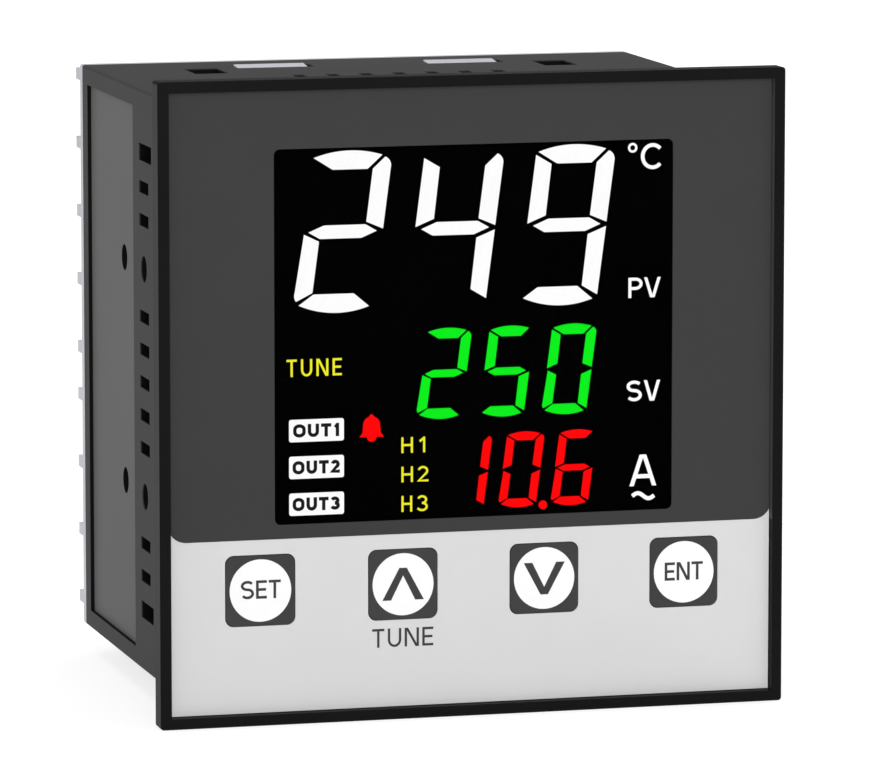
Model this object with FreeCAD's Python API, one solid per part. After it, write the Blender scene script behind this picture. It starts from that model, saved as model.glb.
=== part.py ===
import FreeCAD, Part
import os
from FreeCAD import Vector

# Temperature controller for a 92 mm square opening in a panel door.
# Millimetres. X runs to the right as the user sees the front, Y runs back through the panel,
# Z is up. The origin is the centre of the panel's front surface, where the front frame seats.

os.makedirs("parts", exist_ok=True)

# ---- front frame ---------------------------------------------------------------------------
FRAME_SIDE = 96.0          # outer side of the square front frame
FRAME_DEPTH = 3.7          # how far the frame stands in front of the panel
FRAME_CORNER = 0.5
RIM_WIDTH = 1.65           # raised rim round the front film
POCKET_DEPTH = 1.8         # pocket that takes the film
SEAT_DEPTH = 0.5           # rebate in the frame's back that takes the housing's front end
SKIRT_WALL = 1.6           # spigot that slides into the housing
SKIRT_REAR = 8.0

# ---- housing -------------------------------------------------------------------------------
HOUSING_SIDE = 88.4
HOUSING_WALL = 2.0
HOUSING_REAR = 67.1
HOUSING_EDGE = 0.4         # radius of the four long edges
FIT = 0.1                  # clearance of one moulding inside another, per side

# ---- window, film and keys -----------------------------------------------------------------
FILM_THICK = 0.35
PRINT_THICK = 0.06         # dark print and lit segments
WINDOW_WIDE = 61.2
WINDOW_HIGH = 55.8
WINDOW_X = 0.3
WINDOW_Z = 9.7             # centre of the window above the middle of the frame
WINDOW_CORNER = 0.9
FIELD_BOTTOM = -20.3       # lower edge of the dark field
FIELD_CORNER = 2.8
KEY_SIDE = 10.5
KEY_CORNER = 1.3
KEY_PITCH = 21.8
KEY_X = 0.15               # middle of the row of keys
KEY_Z = -27.87
KEY_GAP = 0.1
KEY_PROUD = 0.06           # how far a key stands in front of the film
KEY_TRAVEL = 0.5
DISC_RADIUS = 4.68

# ---- display stack and boards --------------------------------------------------------------
GLASS_WIDE = 64.4
GLASS_HIGH = 59.3
GLASS_THICK = 2.7
BOARD_THICK = 1.6
BOARD_SIDE = 80.4
SIDE_BOARD_X = 33.0        # inner face of the two boards that stand fore and aft
SIDE_BOARD_FRONT = 12.0
SIDE_BOARD_REAR = 59.0
BOSS_X = 36.5
BOSS_Z = 37.2
BOSS_RADIUS = 2.5
BOSS_HOLE_RADIUS = 1.1
BOSS_HOLE_Y = 2.0

# ---- rear cover and terminals --------------------------------------------------------------
COVER_THICK = 1.8
BARRIER_RISE = 3.1         # height of the barriers behind the cover
BARRIER_THICK = 1.8
BARRIER_LONG = 15.2
TERMINAL_PITCH = 10.75
UPPER_TOP_Z = 42.5         # centre of the topmost barrier of the upper group
UPPER_CELLS = 4
LOWER_TOP_Z = -8.0
LOWER_CELLS = 3
CELL_OUTER_X = 42.0
CELL_INNER_X = 30.4
SCREW_X = 37.5
BLOCK_OUTER_X = 41.9
BLOCK_INNER_X = 28.6
BLOCK_FLOOR = 64.6         # where the wire clamps rest

# ---- places worked out from the sizes above ------------------------------------------------
FRONT_Y = -FRAME_DEPTH
POCKET_Y = FRONT_Y + POCKET_DEPTH
FACE_BACK_Y = -SEAT_DEPTH
FILM_Y = POCKET_Y - FILM_THICK
POCKET_SIDE = FRAME_SIDE - 2 * RIM_WIDTH
INNER_SIDE = HOUSING_SIDE - 2 * HOUSING_WALL
SKIRT_SIDE = INNER_SIDE - 2 * FIT
CELL_SIDE = TERMINAL_PITCH - BARRIER_THICK
COVER_REAR = HOUSING_REAR + COVER_THICK
BARRIER_REAR = COVER_REAR + BARRIER_RISE
LIT_Y = POCKET_Y + PRINT_THICK
BOARD_Y = SKIRT_REAR
BOARD_REAR = BOARD_Y + BOARD_THICK
KEY_FRONT_Y = FILM_Y - KEY_PROUD
KEY_XS = [KEY_X + KEY_PITCH * step for step in (-1.5, -0.5, 0.5, 1.5)]
KEY_NAMES = ["set", "up", "down", "enter"]


# ---- shape helpers -------------------------------------------------------------------------
def block(x, y, z):
    """Box between the two ends given for each axis."""
    size = [max(span) - min(span) for span in (x, y, z)]
    return Part.makeBox(size[0], size[1], size[2], Vector(min(x), min(y), min(z)))


def rounded(solid, axis, radius):
    """Round the edges that run along one axis: 0 for X, 1 for Y, 2 for Z."""
    edges = []
    for edge in solid.Edges:
        run = edge.Vertexes[-1].Point - edge.Vertexes[0].Point
        if abs(run[axis]) > 0.999 * run.Length:
            edges.append(edge)
    return solid.makeFillet(radius, edges)


def plate(wide, high, y, corner=0.0, x_mid=0.0, z_mid=0.0):
    """Upright rectangular plate, with rounded corners when a corner radius is given."""
    x = (x_mid - wide / 2, x_mid + wide / 2)
    z = (z_mid - high / 2, z_mid + high / 2)
    solid = block(x, y, z)
    if corner:
        solid = rounded(solid, 1, corner)
    return solid


def rod(radius, y, x_mid, z_mid):
    """Round bar along Y."""
    return Part.makeCylinder(radius, y[1] - y[0], Vector(x_mid, y[0], z_mid), Vector(0, 1, 0))


def cross_rod(radius, x, y_mid, z_mid):
    """Round bar along X."""
    return Part.makeCylinder(radius, x[1] - x[0], Vector(x[0], y_mid, z_mid), Vector(1, 0, 0))


def outline(points):
    """Closed wire through (point, is_middle) pairs; a middle point makes an arc of its neighbours."""
    edges = []
    count = len(points)
    start = 0
    while start < count:
        here = points[start][0]
        after, is_middle = points[(start + 1) % count]
        if is_middle:
            end = points[(start + 2) % count][0]
            edges.append(Part.Arc(here, after, end).toShape())
            start += 2
        else:
            edges.append(Part.LineSegment(here, after).toShape())
            start += 1
    return Part.Wire(edges)


def turned(profile, base, along):
    """Solid of revolution; the profile lists (radius, distance along the axis from its base)."""
    outward = Vector(0, 0, 1)
    corners = [base + outward * radius + along * distance for radius, distance in profile]
    wire = outline([(corner, False) for corner in corners])
    return Part.Face(wire).revolve(base, along, 360)


def headed_screw(x_mid, z_mid, tip, seat, shank_radius, head_radius, head_high):
    """Screw turned about Y, its head behind the seat and the tip in front."""
    shank = seat - tip
    profile = [(0, 0), (shank_radius, 0), (shank_radius, shank), (head_radius, shank),
               (head_radius, shank + head_high), (0, shank + head_high)]
    return turned(profile, Vector(x_mid, tip, z_mid), Vector(0, 1, 0))


def mirrored(solid, normal):
    return solid.mirror(Vector(0, 0, 0), normal)


def both_sides(solid):
    """The solid and its mirror image across the X = 0 plane."""
    return [solid, mirrored(solid, Vector(1, 0, 0))]


def top_and_bottom(solid):
    """The solid and its mirror image across the Z = 0 plane."""
    return [solid, mirrored(solid, Vector(0, 0, 1))]


def save(name, solids):
    """Write one node; a list becomes a group of separate solids."""
    shape = solids
    if isinstance(solids, list):
        shape = Part.makeCompound(solids)
    shape.exportStep("parts/" + name + ".step")
    print(name, len(shape.Solids), "solids", round(shape.Volume / 1000, 2), "cm3")


# ---- front frame and what it carries -------------------------------------------------------
LUG_X = 26.0
LUG_WIDE = 8.0
LUG_HIGH = 0.9
LUG_FLAT = 0.8             # flat top of the wedge, before its ramp
LUG_ROOT = 0.2             # how far the wedge runs down into the skirt
LUG_Y = (3.0, 6.0)


def snap_lug():
    """Wedge on top of the skirt that catches in a pocket inside the housing."""
    low = SKIRT_SIDE / 2
    corners = [
        Vector(0, LUG_Y[0], low - LUG_ROOT),
        Vector(0, LUG_Y[0], low + LUG_HIGH),
        Vector(0, LUG_Y[0] + LUG_FLAT, low + LUG_HIGH),
        Vector(0, LUG_Y[1], low),
        Vector(0, LUG_Y[1], low - LUG_ROOT),
    ]
    profile = Part.Face(Part.makePolygon(corners + corners[:1]))
    wedge = profile.extrude(Vector(LUG_WIDE, 0, 0))
    wedge.translate(Vector(LUG_X - LUG_WIDE / 2, 0, 0))
    return wedge


def boss_places():
    return [(x, z) for x in (-BOSS_X, BOSS_X) for z in (-BOSS_Z, BOSS_Z)]


def key_opening(x_mid, y):
    side = KEY_SIDE + 2 * KEY_GAP
    return plate(side, side, y, KEY_CORNER, x_mid, KEY_Z)


def front_frame():
    frame = rounded(plate(FRAME_SIDE, FRAME_SIDE, (FRONT_Y, 0)), 1, FRAME_CORNER)
    front_edges = [edge for edge in frame.Edges if edge.BoundBox.YMax < FRONT_Y + 0.01]
    frame = frame.makeChamfer(0.25, front_edges)
    frame = frame.cut(plate(POCKET_SIDE, POCKET_SIDE, (FRONT_Y, POCKET_Y)))
    seat_side = HOUSING_SIDE + 2 * FIT
    frame = frame.cut(plate(seat_side, seat_side, (-SEAT_DEPTH, 0), HOUSING_EDGE))
    skirt_inner = SKIRT_SIDE - 2 * SKIRT_WALL
    frame = frame.fuse(plate(SKIRT_SIDE, SKIRT_SIDE, (FACE_BACK_Y - 0.1, SKIRT_REAR)))
    frame = frame.cut(plate(skirt_inner, skirt_inner, (FACE_BACK_Y, SKIRT_REAR)))
    for lug in both_sides(snap_lug()):
        frame = frame.fuse(top_and_bottom(lug))
    frame = frame.cut(
        plate(GLASS_WIDE + 0.4, GLASS_HIGH + 0.4, (POCKET_Y, FACE_BACK_Y), 0.6, WINDOW_X, WINDOW_Z))
    for x in KEY_XS:
        frame = frame.cut(key_opening(x, (POCKET_Y, FACE_BACK_Y)))
    for x, z in boss_places():
        frame = frame.fuse(rod(BOSS_RADIUS, (FACE_BACK_Y - 0.1, BOARD_Y), x, z))
        frame = frame.cut(rod(BOSS_HOLE_RADIUS, (BOSS_HOLE_Y, BOARD_Y), x, z))
    return frame.removeSplitter()


def window_cut(y):
    return plate(WINDOW_WIDE, WINDOW_HIGH, y, WINDOW_CORNER, WINDOW_X, WINDOW_Z)


def front_film():
    """Light grey film over the whole pocket, open at the window and at the keys."""
    side = POCKET_SIDE - 0.2
    film = plate(side, side, (FILM_Y, POCKET_Y))
    film = film.cut(window_cut((FILM_Y, POCKET_Y)))
    for x in KEY_XS:
        film = film.cut(key_opening(x, (FILM_Y, POCKET_Y)))
    return film


def upper_field():
    """Dark field printed on the film; its lower corners are rounded off by the rim."""
    y = (FILM_Y - PRINT_THICK, FILM_Y)
    top = POCKET_SIDE / 2 - 0.1
    overlap = 0.3
    wide = 2 * (top + overlap)
    high = wide
    field = plate(wide, high, y, FIELD_CORNER, 0, FIELD_BOTTOM + high / 2)
    field = field.common(plate(2 * top, 2 * top, y))
    return field.cut(window_cut(y))


def display_window():
    """Clear window set flush in the film."""
    y = (FILM_Y - PRINT_THICK / 2, POCKET_Y)
    return plate(WINDOW_WIDE - 0.1, WINDOW_HIGH - 0.1, y, WINDOW_CORNER - 0.05, WINDOW_X, WINDOW_Z)


# ---- keys ----------------------------------------------------------------------------------
FLANGE_SIDE = 12.4
FLANGE_Y = (FACE_BACK_Y + 0.05, FACE_BACK_Y + 0.85)
STEM_SIDE = 4.0
STEM_END = 3.0
PLUNGER_RADIUS = 1.7
PLUNGER_END = 5.4
SWITCH_SIDE = 6.2
SWITCH_FRONT = 4.4


def key_cap(x):
    """Square cap with a flange behind the face wall and a square stem down to its switch."""
    cap = plate(KEY_SIDE, KEY_SIDE, (KEY_FRONT_Y, FLANGE_Y[0]), KEY_CORNER, x, KEY_Z)
    cap = cap.fuse(plate(FLANGE_SIDE, FLANGE_SIDE, FLANGE_Y, 0, x, KEY_Z))
    cap = cap.fuse(plate(STEM_SIDE, STEM_SIDE, (FLANGE_Y[1], STEM_END), 0, x, KEY_Z))
    return cap.removeSplitter()


def key_disc(x):
    """White disc printed on the cap."""
    return rod(DISC_RADIUS, (KEY_FRONT_Y - PRINT_THICK, KEY_FRONT_Y), x, KEY_Z)


def switch_plunger(x):
    return rod(PLUNGER_RADIUS, (STEM_END, PLUNGER_END), x, KEY_Z)


def tact_switch(x):
    """Small square push switch under a key, with room for its plunger's travel."""
    body = plate(SWITCH_SIDE, SWITCH_SIDE, (SWITCH_FRONT, BOARD_Y), 0, x, KEY_Z)
    floor = PLUNGER_END + KEY_TRAVEL + 0.3
    return body.cut(rod(PLUNGER_RADIUS + 0.1, (SWITCH_FRONT, floor), x, KEY_Z))


# ---- lit segments --------------------------------------------------------------------------
# One figure is drawn two units high about its centre. Segment c is segment f turned half
# round. A point that ends in True is the middle of an arc.
SLANT = 0.13
SEGMENTS = {
    "a": [(-0.483, 0.917), (-0.025, 1.0, True), (0.383, 0.938), (0.217, 0.767),
          (-0.225, 0.767)],
    "b": [(0.285, 0.767), (0.425, 0.912), (0.49, 0.86, True), (0.51, 0.78), (0.508, 0.025),
          (0.285, 0.115)],
    "d": [(0.453, -0.93), (-0.02, -1.0, True), (-0.443, -0.9), (-0.273, -0.767),
          (0.238, -0.767)],
    "e": [(-0.288, -0.748), (-0.482, -0.85), (-0.507, -0.81, True), (-0.512, -0.74),
          (-0.485, -0.025), (-0.285, -0.115)],
    "f": [(-0.508, 0.88), (-0.296, 0.763), (-0.288, 0.125), (-0.51, 0.03)],
    "g": [(-0.433, 0.0), (-0.246, 0.083), (0.279, 0.083), (0.433, 0.0), (0.246, -0.083),
          (-0.279, -0.083)],
}
TURNED = {"c": "f"}
FIGURES = {"0": "abcdef", "1": "bc", "2": "abged", "4": "fgbc", "5": "afgcd", "6": "afgedc",
           "9": "abcdfg"}


def lit_shape(points):
    """Thin lit field behind an outline that lies in the front of the display."""
    return Part.Face(outline(points)).extrude(Vector(0, PRINT_THICK, 0))


def segment(letter, x_mid, z_mid, half_high):
    sign = 1
    if letter in TURNED:
        letter = TURNED[letter]
        sign = -1
    points = []
    for entry in SEGMENTS[letter]:
        z = sign * entry[1] * half_high
        x = sign * entry[0] * half_high + SLANT * z
        points.append((Vector(x_mid + x, POCKET_Y, z_mid + z), len(entry) == 3))
    return lit_shape(points)


# middle of the last figure in X and Z, height of the figures, and their pitch
PROCESS_ROW = (14.55, 25.12, 24.0, 17.17)
SET_ROW = (15.0, 3.5, 13.6, 9.66)
CURRENT_ROW = (15.74, -11.37, 11.4, 8.1)
POINT_RADIUS = 0.66


def figures(text, row):
    """Row of seven-segment figures; the last one stands at the row's first value."""
    x_last, z_mid, high, pitch = row
    solids = []
    for place, figure in enumerate(reversed(text)):
        for letter in FIGURES[figure]:
            solids.append(segment(letter, x_last - place * pitch, z_mid, high / 2))
    return solids


def process_value():
    return figures("249", PROCESS_ROW)


def set_value():
    return figures("250", SET_ROW)


def current_value():
    """Three figures and the round decimal point between the last two."""
    x_last, z_mid, high, pitch = CURRENT_ROW
    x = x_last - 0.59 * pitch
    z = z_mid - high / 2 + 0.3 * POINT_RADIUS
    point = rod(POINT_RADIUS, (POCKET_Y, LIT_Y), x, z)
    return figures("106", CURRENT_ROW) + [point]


FLAG_X = -23.84
FLAG_TOP_Z = -4.3
FLAG_PITCH = 5.5
FLAG_WIDE = 8.35
FLAG_HIGH = 3.35
FLAG_CORNER = 0.35
BELL_X = -15.42
BELL_Z = -4.28


def output_flags():
    """Three rounded flags that light when an output is on."""
    flags = []
    for place in range(3):
        z = FLAG_TOP_Z - place * FLAG_PITCH
        flags.append(plate(FLAG_WIDE, FLAG_HIGH, (POCKET_Y, LIT_Y), FLAG_CORNER, FLAG_X, z))
    return flags


def alarm_bell():
    """Bell sign: a dome with a flared lip, a knob on top and a clapper below."""
    lip = [(-1.88, -1.35), (-1.38, -0.7), (-1.3, 0.4), (0.0, 1.75, True), (1.3, 0.4),
           (1.38, -0.7), (1.88, -1.35)]
    points = []
    for entry in lip:
        points.append((Vector(BELL_X + entry[0], POCKET_Y, BELL_Z + entry[1]), len(entry) == 3))
    knob = rod(0.34, (POCKET_Y, LIT_Y), BELL_X, BELL_Z + 1.7)
    clapper = rod(0.72, (POCKET_Y, LIT_Y), BELL_X, BELL_Z - 1.35)
    return lit_shape(points).fuse([knob, clapper]).removeSplitter()


# ---- display stack -------------------------------------------------------------------------
BACKLIGHT_WALL = 2.0
BACKLIGHT_PLATE = 1.5
SCREW_TIP_Y = 2.2
BOARD_SCREW_RADIUS = 1.05
BOARD_HEAD_RADIUS = 2.25
BOARD_HEAD_HIGH = 1.7
CHIP_SIDE = 12.0
CHIP_HIGH = 1.4
CHIP_X = 4.0
CHIP_Z = 6.0


def display_glass():
    y = (LIT_Y, LIT_Y + GLASS_THICK)
    return plate(GLASS_WIDE, GLASS_HIGH, y, 0.4, WINDOW_X, WINDOW_Z)


def backlight():
    """White light box between the glass and the display board."""
    y = (LIT_Y + GLASS_THICK, BOARD_Y)
    box = plate(GLASS_WIDE, GLASS_HIGH, y, 0.4, WINDOW_X, WINDOW_Z)
    hollow = plate(GLASS_WIDE - 2 * BACKLIGHT_WALL, GLASS_HIGH - 2 * BACKLIGHT_WALL,
                   (y[0] + BACKLIGHT_PLATE, y[1]), 0, WINDOW_X, WINDOW_Z)
    return box.cut(hollow)


def display_board():
    y = (BOARD_Y, BOARD_REAR)
    board = plate(BOARD_SIDE, BOARD_SIDE, y, 1.0)
    for x, z in boss_places():
        board = board.cut(rod(BOARD_SCREW_RADIUS + 0.3, y, x, z))
    return board


def board_screws():
    """Screws that hold the display board to the frame's bosses."""
    screws = []
    for x, z in boss_places():
        screws.append(headed_screw(x, z, SCREW_TIP_Y, BOARD_REAR, BOARD_SCREW_RADIUS,
                                   BOARD_HEAD_RADIUS, BOARD_HEAD_HIGH))
    return screws


def microcontroller():
    chip = plate(CHIP_SIDE, CHIP_SIDE, (BOARD_REAR, BOARD_REAR + CHIP_HIGH), 0, CHIP_X, CHIP_Z)
    top = [edge for edge in chip.Edges if edge.BoundBox.YMin > BOARD_REAR + CHIP_HIGH - 0.01]
    return chip.makeChamfer(0.2, top)


# ---- housing -------------------------------------------------------------------------------
VENT_Y = 23.3
VENT_LONG = 6.4
VENT_HIGH = 1.85
VENT_PITCH = 5.0
PAIR_VENT_Z = (24.6, 29.6)
WIDE_VENT_Y = 22.3
WIDE_VENT_Z = 34.85
WIDE_VENT_LONG = 8.4
WIDE_VENT_HIGH = 2.6
HOLE_RADIUS = 2.0
FRONT_HOLE = (23.5, 17.3)
REAR_HOLE = (40.1, 17.2)
RECESS_Y = (30.8, 63.6)
RECESS_HALF = 41.4
RECESS_DEPTH = 0.65
TOP_VENT_Y = 41.1
TOP_VENT_WIDE = 1.85
TOP_VENT_LONG = 3.2
TOP_VENT_PITCH = 5.25
CLAMP_SLOT_X = (25.3, 30.5)
CLAMP_SLOT_Y = (47.8, 56.3)
CATCH_SHIFT = -0.6         # the catches sit a little to one side of the middle
CATCH_X = 15.25            # from there to the middle of each catch slot
CATCH_SLOT_LONG = 12.2
CATCH_SLOT_Y = (55.6, 59.4)
RAIL_THICK = 1.2
RAIL_HIGH = 2.0
RAIL_Y = (SIDE_BOARD_FRONT, 58.0)


def side_cuts():
    """Everything cut through the right-hand wall."""
    x = (INNER_SIDE / 2 - 1, HOUSING_SIDE / 2 + 1)
    cuts = [block((HOUSING_SIDE / 2 - RECESS_DEPTH, x[1]), RECESS_Y,
                  (-RECESS_HALF, RECESS_HALF))]
    vent_y = (VENT_Y - VENT_LONG / 2, VENT_Y + VENT_LONG / 2)
    for step in (-2, -1, 0, 1, 2):
        z = step * VENT_PITCH
        cuts.append(block(x, vent_y, (z - VENT_HIGH / 2, z + VENT_HIGH / 2)))
    wide_y = (WIDE_VENT_Y - WIDE_VENT_LONG / 2, WIDE_VENT_Y + WIDE_VENT_LONG / 2)
    for sign in (-1, 1):
        for z in PAIR_VENT_Z:
            low = sign * z - VENT_HIGH / 2
            cuts.append(block(x, vent_y, (low, low + VENT_HIGH)))
        low = sign * WIDE_VENT_Z - WIDE_VENT_HIGH / 2
        cuts.append(block(x, wide_y, (low, low + WIDE_VENT_HIGH)))
        for y_mid, z_mid in (FRONT_HOLE, REAR_HOLE):
            cuts.append(cross_rod(HOLE_RADIUS, x, y_mid, sign * z_mid))
    return cuts


def catch_places():
    """Middle of each catch slot in the top and bottom walls."""
    return [CATCH_SHIFT - CATCH_X, CATCH_SHIFT + CATCH_X]


def top_cuts():
    """Everything cut through the top wall."""
    z = (INNER_SIDE / 2 - 1, HOUSING_SIDE / 2 + 1)
    vent_y = (TOP_VENT_Y - TOP_VENT_LONG / 2, TOP_VENT_Y + TOP_VENT_LONG / 2)
    cuts = []
    for step in range(-3, 4):
        x = step * TOP_VENT_PITCH
        cuts.append(block((x - TOP_VENT_WIDE / 2, x + TOP_VENT_WIDE / 2), vent_y, z))
    cuts += both_sides(block(CLAMP_SLOT_X, CLAMP_SLOT_Y, z))
    for x in catch_places():
        cuts.append(block((x - CATCH_SLOT_LONG / 2, x + CATCH_SLOT_LONG / 2), CATCH_SLOT_Y, z))
    pocket_x = (LUG_X - LUG_WIDE / 2 - 0.2, LUG_X + LUG_WIDE / 2 + 0.2)
    pocket_y = (LUG_Y[0] - 0.1, LUG_Y[1] + 0.2)
    pocket_z = (INNER_SIDE / 2 - 1, SKIRT_SIDE / 2 + LUG_HIGH + 0.1)
    cuts += both_sides(block(pocket_x, pocket_y, pocket_z))
    return cuts


def rails():
    """Pairs of rails on the inside of the top wall that guide the side boards."""
    z = (INNER_SIDE / 2 - RAIL_HIGH, INNER_SIDE / 2 + 0.2)
    inner = SIDE_BOARD_X - 0.05
    outer = SIDE_BOARD_X + BOARD_THICK + 0.05
    solids = both_sides(block((inner - RAIL_THICK, inner), RAIL_Y, z))
    return solids + both_sides(block((outer, outer + RAIL_THICK), RAIL_Y, z))


def housing():
    shell = plate(HOUSING_SIDE, HOUSING_SIDE, (-SEAT_DEPTH, HOUSING_REAR), HOUSING_EDGE)
    shell = shell.cut(plate(INNER_SIDE, INNER_SIDE, (-SEAT_DEPTH, HOUSING_REAR)))
    for rail in rails():
        shell = shell.fuse(top_and_bottom(rail))
    for cut in side_cuts():
        shell = shell.cut(both_sides(cut))
    for cut in top_cuts():
        shell = shell.cut(top_and_bottom(cut))
    return shell.removeSplitter()


# ---- rear cover ----------------------------------------------------------------------------
TONGUE_WIDE = 11.15
TONGUE_SHIFT = -0.45       # the cover's tongues sit towards one end of their slots
TONGUE_THICK = 1.4
HOOK_Y = (CATCH_SLOT_Y[0] + 0.25, CATCH_SLOT_Y[1] - 0.15)
HOOK_LOW = 0.1             # how far the hook's front edge lies below the housing's surface
HOOK_PROUD = 0.25          # how far its rear edge stands above it
REAR_VENT_WIDE = 34.0
REAR_VENT_HIGH = 2.0
REAR_VENT_PITCH = 5.0


def barrier_places():
    """Height of each barrier between terminals."""
    upper = [UPPER_TOP_Z - step * TERMINAL_PITCH for step in range(UPPER_CELLS + 1)]
    lower = [LOWER_TOP_Z - step * TERMINAL_PITCH for step in range(LOWER_CELLS + 1)]
    return upper, lower


def cell_places():
    """Height of the middle of each terminal."""
    upper, lower = barrier_places()
    half = TERMINAL_PITCH / 2
    return [z - half for z in upper[:-1]] + [z - half for z in lower[:-1]]


def snap_tongue(x_mid):
    """Tongue on top of the cover, with a ramped hook that catches in a slot of the housing."""
    arm_top = INNER_SIDE / 2 - FIT
    under = arm_top - TONGUE_THICK
    surface = HOUSING_SIDE / 2
    side = [
        Vector(0, HOOK_Y[0], under),
        Vector(0, HOOK_Y[0], surface - HOOK_LOW),
        Vector(0, HOOK_Y[1], surface + HOOK_PROUD),
        Vector(0, HOOK_Y[1], arm_top),
        Vector(0, HOUSING_REAR + 0.2, arm_top),
        Vector(0, HOUSING_REAR + 0.2, under),
    ]
    tongue = Part.Face(Part.makePolygon(side + side[:1])).extrude(Vector(TONGUE_WIDE, 0, 0))
    tongue.translate(Vector(x_mid - TONGUE_WIDE / 2, 0, 0))
    return tongue


def rear_cover():
    cover = plate(HOUSING_SIDE, HOUSING_SIDE, (HOUSING_REAR, COVER_REAR), HOUSING_EDGE)
    for x in catch_places():
        cover = cover.fuse(top_and_bottom(snap_tongue(x + TONGUE_SHIFT)))
    outer = HOUSING_SIDE / 2
    upper, lower = barrier_places()
    for z in upper + lower:
        fin = block((outer - BARRIER_LONG, outer), (HOUSING_REAR + 0.2, BARRIER_REAR),
                    (z - BARRIER_THICK / 2, z + BARRIER_THICK / 2))
        cover = cover.fuse(both_sides(fin))
    for z in cell_places():
        window = block((CELL_INNER_X, CELL_OUTER_X), (HOUSING_REAR, COVER_REAR),
                       (z - CELL_SIDE / 2, z + CELL_SIDE / 2))
        cover = cover.cut(both_sides(window))
    for step in range(-3, 4):
        z = step * REAR_VENT_PITCH
        cover = cover.cut(plate(REAR_VENT_WIDE, REAR_VENT_HIGH, (HOUSING_REAR, COVER_REAR),
                                0, 0, z))
    return cover.removeSplitter()


# ---- terminals -----------------------------------------------------------------------------
TAG_X = (34.6, 35.6)
TAG_WIDE = 4.0
TAG_FRONT = 55.0
CLAMP_SIDE = 7.0
CLAMP_THICK = 1.1
SCREW_RADIUS = 1.7
SCREW_HEAD_RADIUS = 3.2
SCREW_HEAD_HIGH = 1.8
SCREW_END = 60.2
SCREW_HOLE_SIDE = 3.6      # square hole for the screw in its clamp and in the block


def terminal_tag(z):
    """Flat tin-plated tag from under a wire clamp forward to the side board."""
    return block(TAG_X, (TAG_FRONT, BLOCK_FLOOR), (z - TAG_WIDE / 2, z + TAG_WIDE / 2))


def terminal_clamp(z):
    """Square wire clamp with a square clearance hole for its screw."""
    y = (BLOCK_FLOOR, BLOCK_FLOOR + CLAMP_THICK)
    clamp = plate(CLAMP_SIDE, CLAMP_SIDE, y, 0, SCREW_X, z)
    return clamp.cut(plate(SCREW_HOLE_SIDE, SCREW_HOLE_SIDE, y, 0, SCREW_X, z))


def terminal_screw(z):
    seat = BLOCK_FLOOR + CLAMP_THICK
    return headed_screw(SCREW_X, z, SCREW_END, seat, SCREW_RADIUS, SCREW_HEAD_RADIUS, SCREW_HEAD_HIGH)


def terminal_block(top, cells):
    """Insulating block behind one group of cells, with a pocket for each clamp."""
    half_wall = BARRIER_THICK / 2
    limit = INNER_SIDE / 2 - FIT
    z_high = min(top + half_wall, limit)
    z_low = top - cells * TERMINAL_PITCH - half_wall
    body = block((BLOCK_INNER_X, BLOCK_OUTER_X), (SIDE_BOARD_REAR, HOUSING_REAR),
                 (z_low, z_high))
    for step in range(cells):
        z = top - (step + 0.5) * TERMINAL_PITCH
        pocket = block((CELL_INNER_X, CELL_OUTER_X - 0.9), (BLOCK_FLOOR, HOUSING_REAR),
                       (z - CELL_SIDE / 2, z + CELL_SIDE / 2))
        body = body.cut(pocket)
        body = body.cut(plate(SCREW_HOLE_SIDE, SCREW_HOLE_SIDE, (SCREW_END - 0.3, BLOCK_FLOOR),
                              0, SCREW_X, z))
        body = body.cut(terminal_tag(z))
    return body


# ---- boards and parts inside ---------------------------------------------------------------
LINK_THICK = 4.5
LINK_HIGH = 24.0
LINK_REAR = 16.5


def side_board():
    """Upright board on the right, held in the housing's rails."""
    half = INNER_SIDE / 2 - FIT
    return block((SIDE_BOARD_X, SIDE_BOARD_X + BOARD_THICK), (SIDE_BOARD_FRONT, SIDE_BOARD_REAR),
                 (-half, half))


def board_link():
    """Header that joins a side board to the back of the display board."""
    x = (SIDE_BOARD_X - LINK_THICK, SIDE_BOARD_X)
    return block(x, (BOARD_REAR, LINK_REAR), (-LINK_HIGH / 2, LINK_HIGH / 2))


CORE_X = (-29.0, -13.0)
CORE_Y = (20.0, 48.0)
CORE_Z = (-16.0, 16.0)
CORE_LIMB = 5.0
COIL_RISE = 4.0            # how far the winding bulges out of the core
RELAY_HIGH = 15.5
RELAY_Y = (32.0, 51.0)
RELAY_WIDE = 15.2
RELAY_PITCH = 17.0
# radius and height of each capacitor, and its place along Y and Z
MAIN_CAPACITOR = (6.25, 20.0, 30.0, 29.0)
FILTER_CAPACITOR = (4.0, 12.0, 44.0, 28.0)


def transformer_core():
    """Laminated core with two windows either side of the middle limb."""
    core = block(CORE_X, CORE_Y, CORE_Z)
    y = (CORE_Y[0] + CORE_LIMB, CORE_Y[1] - CORE_LIMB)
    for sign in (-1, 1):
        core = core.cut(block(CORE_X, y, (sign * CORE_LIMB, sign * (CORE_Z[1] - CORE_LIMB))))
    return core


def transformer_coil():
    """Taped winding round the core's middle limb; it sits on the side board."""
    y = (CORE_Y[0] + CORE_LIMB, CORE_Y[1] - CORE_LIMB)
    z = (-CORE_Z[1] + CORE_LIMB, CORE_Z[1] - CORE_LIMB)
    coil = rounded(block((-SIDE_BOARD_X, CORE_X[1] + COIL_RISE), y, z), 1, 2.0)
    return coil.cut(block(CORE_X, y, (-CORE_LIMB, CORE_LIMB)))


def supply_capacitor(size_and_place):
    """Electrolytic can standing on the left side board."""
    radius, high, y_mid, z_mid = size_and_place
    edge = 0.1 * radius
    profile = [(0, 0), (radius, 0), (radius, high - edge), (radius - edge, high), (0, high)]
    return turned(profile, Vector(-SIDE_BOARD_X, y_mid, z_mid), Vector(1, 0, 0))


def output_relay(z):
    half = RELAY_WIDE / 2
    relay = block((SIDE_BOARD_X - RELAY_HIGH, SIDE_BOARD_X), RELAY_Y, (z - half, z + half))
    return rounded(relay, 0, 0.6)


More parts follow.
